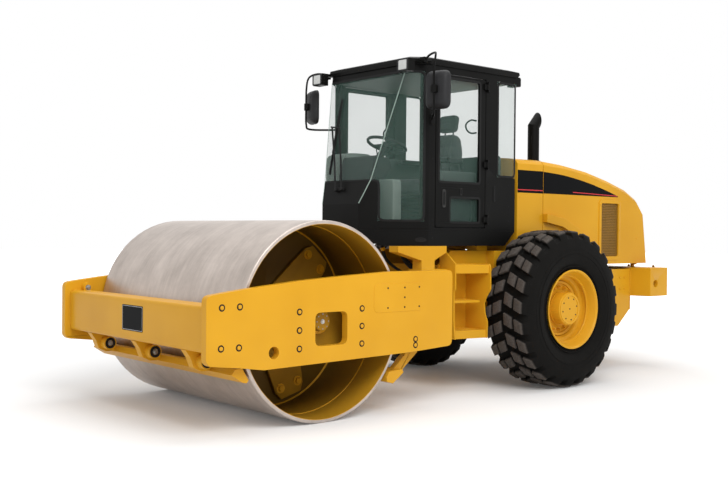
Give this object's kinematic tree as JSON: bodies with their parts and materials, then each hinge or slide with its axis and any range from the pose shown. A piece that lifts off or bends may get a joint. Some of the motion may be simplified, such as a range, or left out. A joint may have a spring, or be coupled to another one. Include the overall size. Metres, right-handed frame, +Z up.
{
  "type": "vibratory soil compactor",
  "caption": "Articulated ride-on soil compactor with a wide smooth steel drum in a yoke, a closed cab, lugged rear tyres and a tilting engine hood",
  "frame": {"origin": "on the ground, under the middle of the machine's box", "axes": "+Z up, the drum at -Y, the machine's left side at +X"},
  "size_m": [2.38, 6.075, 3.0106],
  "materials": {
    "yellow_paint": "warm yellow gloss paint",
    "black_paint": "satin black paint",
    "drum_steel": "ground steel with fine rings and a little brown tarnish",
    "rod_chrome": "polished rod",
    "tyre_rubber": "black rubber with dusty lug tops",
    "tinted_glass": "lightly green tinted safety glass",
    "engine_iron": "dark painted casting",
    "seat_fabric": "dark woven seat cloth",
    "black_plastic": "textured black plastic",
    "grille_mesh": "perforated yellow sheet with dark holes"
  },
  "bodies": {
    "rear_chassis": {"rear_frame": "yellow_paint", "rear_bumper": "yellow_paint", "axle_housing": "black_paint", "engine_block": "engine_iron", "step_left": "yellow_paint", "step_right": "yellow_paint", "cab_base": "black_paint", "cab_frame": "black_paint", "cab_roof": "black_paint", "windscreen": "tinted_glass", "corner_glass_left": "tinted_glass", "corner_glass_right": "tinted_glass", "quarter_glass_left": "tinted_glass", "quarter_glass_right": "tinted_glass", "rear_glass": "tinted_glass", "seat_base": "black_plastic", "seat_cushion": "seat_fabric", "seat_back": "seat_fabric", "steering_console": "black_plastic", "engine_cowl": "yellow_paint", "mirror_left": "black_plastic", "mirror_right": "black_plastic"},
    "hitch_block": {"hitch": "yellow_paint"},
    "drum_yoke": {"yoke_side_left": "yellow_paint", "yoke_side_right": "yellow_paint", "yoke_front_beam": "yellow_paint", "yoke_rear_beam": "yellow_paint", "drum_carrier_left": "yellow_paint", "drum_carrier_right": "yellow_paint", "front_scraper": "yellow_paint", "rear_scraper": "yellow_paint"},
    "drum": {"drum_shell": "drum_steel", "drum_head_left": "yellow_paint", "drum_head_right": "yellow_paint"},
    "wheel_left": {"tyre_left": "tyre_rubber", "rim_left": "yellow_paint"},
    "wheel_right": {"tyre_right": "tyre_rubber", "rim_right": "yellow_paint"},
    "door_left_panel": {"door_left": "black_paint", "door_glass_left": "tinted_glass"},
    "door_right_panel": {"door_right": "black_paint", "door_glass_right": "tinted_glass"},
    "engine_hood": {"hood": "yellow_paint", "hood_flare_left": "yellow_paint", "hood_flare_right": "yellow_paint", "side_grille_left": "grille_mesh", "side_grille_right": "grille_mesh", "rear_grille": "black_plastic", "exhaust": "black_paint"},
    "barrel_left": {"steering_barrel_left": "black_paint"},
    "barrel_right": {"steering_barrel_right": "black_paint"},
    "rod_left": {"steering_rod_left": "rod_chrome"},
    "rod_right": {"steering_rod_right": "rod_chrome"}
  },
  "joints": [
    {"name": "steer", "type": "hinge", "parent": "rear_chassis", "child": "hitch_block", "pos_m": [0, -0.4475, 0.767], "axis": [0, 0, 1], "range_deg": [-34, 34]},
    {"name": "oscillate", "type": "hinge", "parent": "hitch_block", "child": "drum_yoke", "pos_m": [0, -0.7475, 0.767], "axis": [0, 1, 0], "range_deg": [-15, 15]},
    {"name": "drum_spin", "type": "hinge", "parent": "drum_yoke", "child": "drum", "pos_m": [0, -1.9475, 0.767], "axis": [1, 0, 0], "continuous": true},
    {"name": "wheel_left_spin", "type": "hinge", "parent": "rear_chassis", "child": "wheel_left", "pos_m": [0.925, 0.9525, 0.74], "axis": [1, 0, 0], "continuous": true},
    {"name": "wheel_right_spin", "type": "hinge", "parent": "rear_chassis", "child": "wheel_right", "pos_m": [-0.925, 0.9525, 0.74], "axis": [1, 0, 0], "continuous": true},
    {"name": "door_left_open", "type": "hinge", "parent": "rear_chassis", "child": "door_left_panel", "pos_m": [0.668, 0.2905, 2.08], "axis": [0, 0, 1], "range_deg": [0, 100]},
    {"name": "door_right_open", "type": "hinge", "parent": "rear_chassis", "child": "door_right_panel", "pos_m": [-0.668, 0.2905, 2.08], "axis": [0, 0, -1], "range_deg": [0, 100]},
    {"name": "hood_open", "type": "hinge", "parent": "rear_chassis", "child": "engine_hood", "pos_m": [0, 2.9545, 1.128], "axis": [-1, 0, 0], "range_deg": [0, 60]},
    {"name": "barrel_left_swing", "type": "hinge", "parent": "rear_chassis", "child": "barrel_left", "pos_m": [0.24, 0.4125, 0.767], "axis": [0, 0, 1], "range_deg": [-4.2, 4.2]},
    {"name": "barrel_right_swing", "type": "hinge", "parent": "rear_chassis", "child": "barrel_right", "pos_m": [-0.24, 0.4125, 0.767], "axis": [0, 0, 1], "range_deg": [-4.2, 4.2]},
    {"name": "rod_left_slide", "type": "slide", "parent": "barrel_left", "child": "rod_left", "axis": [0.0323, -0.9995, 0], "range_m": [-0.16, 0.16]},
    {"name": "rod_right_slide", "type": "slide", "parent": "barrel_right", "child": "rod_right", "axis": [-0.0323, -0.9995, 0], "range_m": [-0.16, 0.16]}
  ],
  "couplings": [
    {"joint": "barrel_left_swing", "follows": "steer", "ratio": 0.12},
    {"joint": "barrel_right_swing", "follows": "steer", "ratio": 0.12},
    {"joint": "rod_left_slide", "follows": "steer", "m_per_rad": -0.2572},
    {"joint": "rod_right_slide", "follows": "steer", "m_per_rad": 0.2572}
  ]
}
